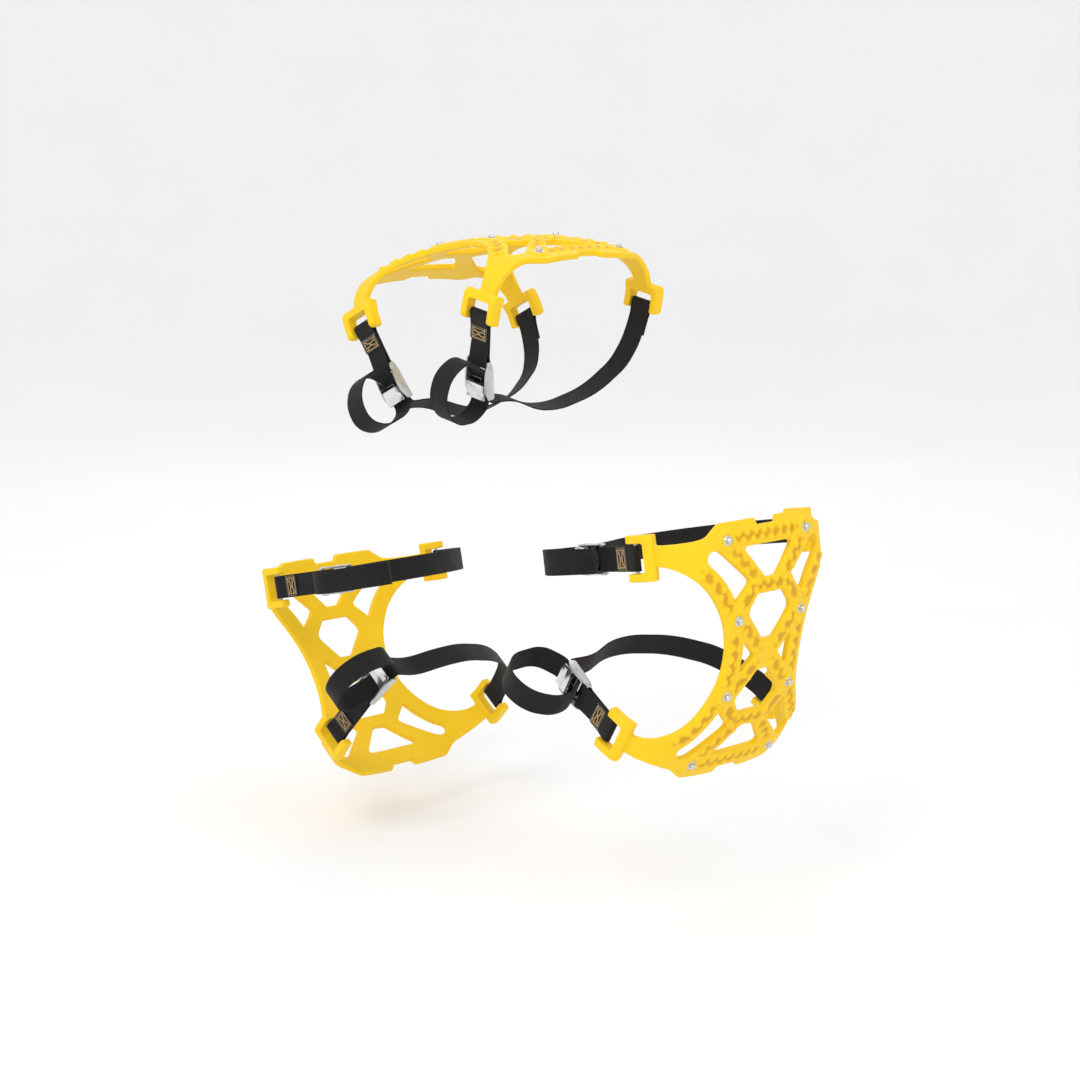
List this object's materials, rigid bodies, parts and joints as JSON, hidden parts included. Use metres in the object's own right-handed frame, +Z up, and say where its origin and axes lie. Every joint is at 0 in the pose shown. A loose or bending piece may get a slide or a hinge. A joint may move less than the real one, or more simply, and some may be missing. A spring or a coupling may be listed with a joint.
{
  "type": "tire snow chains",
  "caption": "Strap-on snow chains for one car wheel: studded X-ribbed plastic grip plates with forked clips, webbing straps through the wheel and sprung cam buckles.",
  "frame": {"origin": "centre of the tyre that the chains are fitted to, on the wheel's axis", "axes": "+Y along the wheel's axis towards the car, -Y to the outer face with the buckles, +Z up"},
  "size_m": [0.6714, 0.3102, 0.6121],
  "materials": {
    "yellow_plastic": "moulded flexible polyurethane, satin, bright yellow",
    "stud_steel": "hardened steel, bright, worn tips",
    "pin_steel": "zinc plated pin",
    "webbing": "black woven polyester webbing with tan stitching",
    "buckle_plating": "bright plated pressed steel",
    "lever_plating": "bright plated die casting, polished thumb plate",
    "spring_steel": "spring wire"
  },
  "bodies": {
    "top_unit": {"grip_plate_1": "yellow_plastic", "steel_studs_1": "stud_steel", "clip_pins_1": "pin_steel", "long_strap_1a": "webbing", "long_strap_1b": "webbing"},
    "front_unit": {"grip_plate_2": "yellow_plastic", "steel_studs_2": "stud_steel", "clip_pins_2": "pin_steel", "long_strap_2a": "webbing", "long_strap_2b": "webbing"},
    "rear_unit": {"grip_plate_3": "yellow_plastic", "steel_studs_3": "stud_steel", "clip_pins_3": "pin_steel", "long_strap_3a": "webbing", "long_strap_3b": "webbing"},
    "buckle_1a": {"short_strap_1a": "webbing", "buckle_frame_1a": "buckle_plating", "buckle_bar_1a": "pin_steel", "cam_axle_1a": "pin_steel", "cam_spring_1a": "spring_steel"},
    "lever_1a": {"cam_lever_1a": "lever_plating"},
    "buckle_1b": {"short_strap_1b": "webbing", "buckle_frame_1b": "buckle_plating", "buckle_bar_1b": "pin_steel", "cam_axle_1b": "pin_steel", "cam_spring_1b": "spring_steel"},
    "lever_1b": {"cam_lever_1b": "lever_plating"},
    "buckle_2a": {"short_strap_2a": "webbing", "buckle_frame_2a": "buckle_plating", "buckle_bar_2a": "pin_steel", "cam_axle_2a": "pin_steel", "cam_spring_2a": "spring_steel"},
    "lever_2a": {"cam_lever_2a": "lever_plating"},
    "buckle_2b": {"short_strap_2b": "webbing", "buckle_frame_2b": "buckle_plating", "buckle_bar_2b": "pin_steel", "cam_axle_2b": "pin_steel", "cam_spring_2b": "spring_steel"},
    "lever_2b": {"cam_lever_2b": "lever_plating"},
    "buckle_3a": {"short_strap_3a": "webbing", "buckle_frame_3a": "buckle_plating", "buckle_bar_3a": "pin_steel", "cam_axle_3a": "pin_steel", "cam_spring_3a": "spring_steel"},
    "lever_3a": {"cam_lever_3a": "lever_plating"},
    "buckle_3b": {"short_strap_3b": "webbing", "buckle_frame_3b": "buckle_plating", "buckle_bar_3b": "pin_steel", "cam_axle_3b": "pin_steel", "cam_spring_3b": "spring_steel"},
    "lever_3b": {"cam_lever_3b": "lever_plating"}
  },
  "joints": [
    {"name": "creep_front_unit", "type": "hinge", "parent": "top_unit", "child": "front_unit", "pos_m": [0, 0, 0], "axis": [0, 1, 0], "range_deg": [-10, 10]},
    {"name": "creep_rear_unit", "type": "hinge", "parent": "top_unit", "child": "rear_unit", "pos_m": [0, 0, 0], "axis": [0, 1, 0], "range_deg": [-10, 10]},
    {"name": "buckle_swing_1a", "type": "hinge", "parent": "top_unit", "child": "buckle_1a", "pos_m": [-0.11864, -0.1214, 0.24226], "axis": [-0.8981, 0, -0.4398], "range_deg": [0, 15], "stiffness_Nm_per_rad": 0.6, "springref_deg": -22.92, "deforming": ["long_strap_1a"]},
    {"name": "cam_1a", "type": "hinge", "parent": "buckle_1a", "child": "lever_1a", "pos_m": [-0.08568, -0.11071, 0.17495], "axis": [-0.8981, 0, -0.4398], "range_deg": [0, 55], "stiffness_Nm_per_rad": 0.02, "springref_deg": -28.65, "deforming": ["cam_spring_1a"]},
    {"name": "buckle_swing_1b", "type": "hinge", "parent": "top_unit", "child": "buckle_1b", "pos_m": [0.05651, -0.1214, 0.26377], "axis": [-0.9778, 0, 0.2095], "range_deg": [0, 15], "stiffness_Nm_per_rad": 0.6, "springref_deg": -22.92, "deforming": ["long_strap_1b"]},
    {"name": "cam_1b", "type": "hinge", "parent": "buckle_1b", "child": "lever_1b", "pos_m": [0.04081, -0.11071, 0.19048], "axis": [-0.9778, 0, 0.2095], "range_deg": [0, 55], "stiffness_Nm_per_rad": 0.02, "springref_deg": -28.65, "deforming": ["cam_spring_1b"]},
    {"name": "buckle_swing_2a", "type": "hinge", "parent": "front_unit", "child": "buckle_2a", "pos_m": [0.26679, -0.1214, 0.03984], "axis": [-0.1477, 0, 0.989], "range_deg": [0, 15], "stiffness_Nm_per_rad": 0.6, "springref_deg": -22.92, "deforming": ["long_strap_2a"]},
    {"name": "cam_2a", "type": "hinge", "parent": "buckle_2a", "child": "lever_2a", "pos_m": [0.19267, -0.11071, 0.02877], "axis": [-0.1477, 0, 0.989], "range_deg": [0, 55], "stiffness_Nm_per_rad": 0.02, "springref_deg": -28.65, "deforming": ["cam_spring_2a"]},
    {"name": "buckle_swing_2b", "type": "hinge", "parent": "front_unit", "child": "buckle_2b", "pos_m": [0.23433, -0.1214, -0.13362], "axis": [0.4954, 0, 0.8687], "range_deg": [0, 15], "stiffness_Nm_per_rad": 0.6, "springref_deg": -22.92, "deforming": ["long_strap_2b"]},
    {"name": "cam_2b", "type": "hinge", "parent": "buckle_2b", "child": "lever_2b", "pos_m": [0.16923, -0.11071, -0.0965], "axis": [0.4954, 0, 0.8687], "range_deg": [0, 55], "stiffness_Nm_per_rad": 0.02, "springref_deg": -28.65, "deforming": ["cam_spring_2b"]},
    {"name": "buckle_swing_3a", "type": "hinge", "parent": "rear_unit", "child": "buckle_3a", "pos_m": [-0.17306, -0.1214, -0.20692], "axis": [0.7671, 0, -0.6415], "range_deg": [0, 15], "stiffness_Nm_per_rad": 0.6, "springref_deg": -22.92, "deforming": ["long_strap_3a"]},
    {"name": "cam_3a", "type": "hinge", "parent": "buckle_3a", "child": "lever_3a", "pos_m": [-0.11471, -0.11071, -0.13716], "axis": [0.7671, 0, -0.6415], "range_deg": [0, 55], "stiffness_Nm_per_rad": 0.02, "springref_deg": -28.65, "deforming": ["cam_spring_3a"]},
    {"name": "buckle_swing_3b", "type": "hinge", "parent": "rear_unit", "child": "buckle_3b", "pos_m": [-0.26395, -0.1214, -0.05566], "axis": [0.2063, 0, -0.9785], "range_deg": [0, 15], "stiffness_Nm_per_rad": 0.6, "springref_deg": -22.92, "deforming": ["long_strap_3b"]},
    {"name": "cam_3b", "type": "hinge", "parent": "buckle_3b", "child": "lever_3b", "pos_m": [-0.17496, -0.11071, -0.03689], "axis": [0.2063, 0, -0.9785], "range_deg": [0, 55], "stiffness_Nm_per_rad": 0.02, "springref_deg": -28.65, "deforming": ["cam_spring_3b"]}
  ]
}
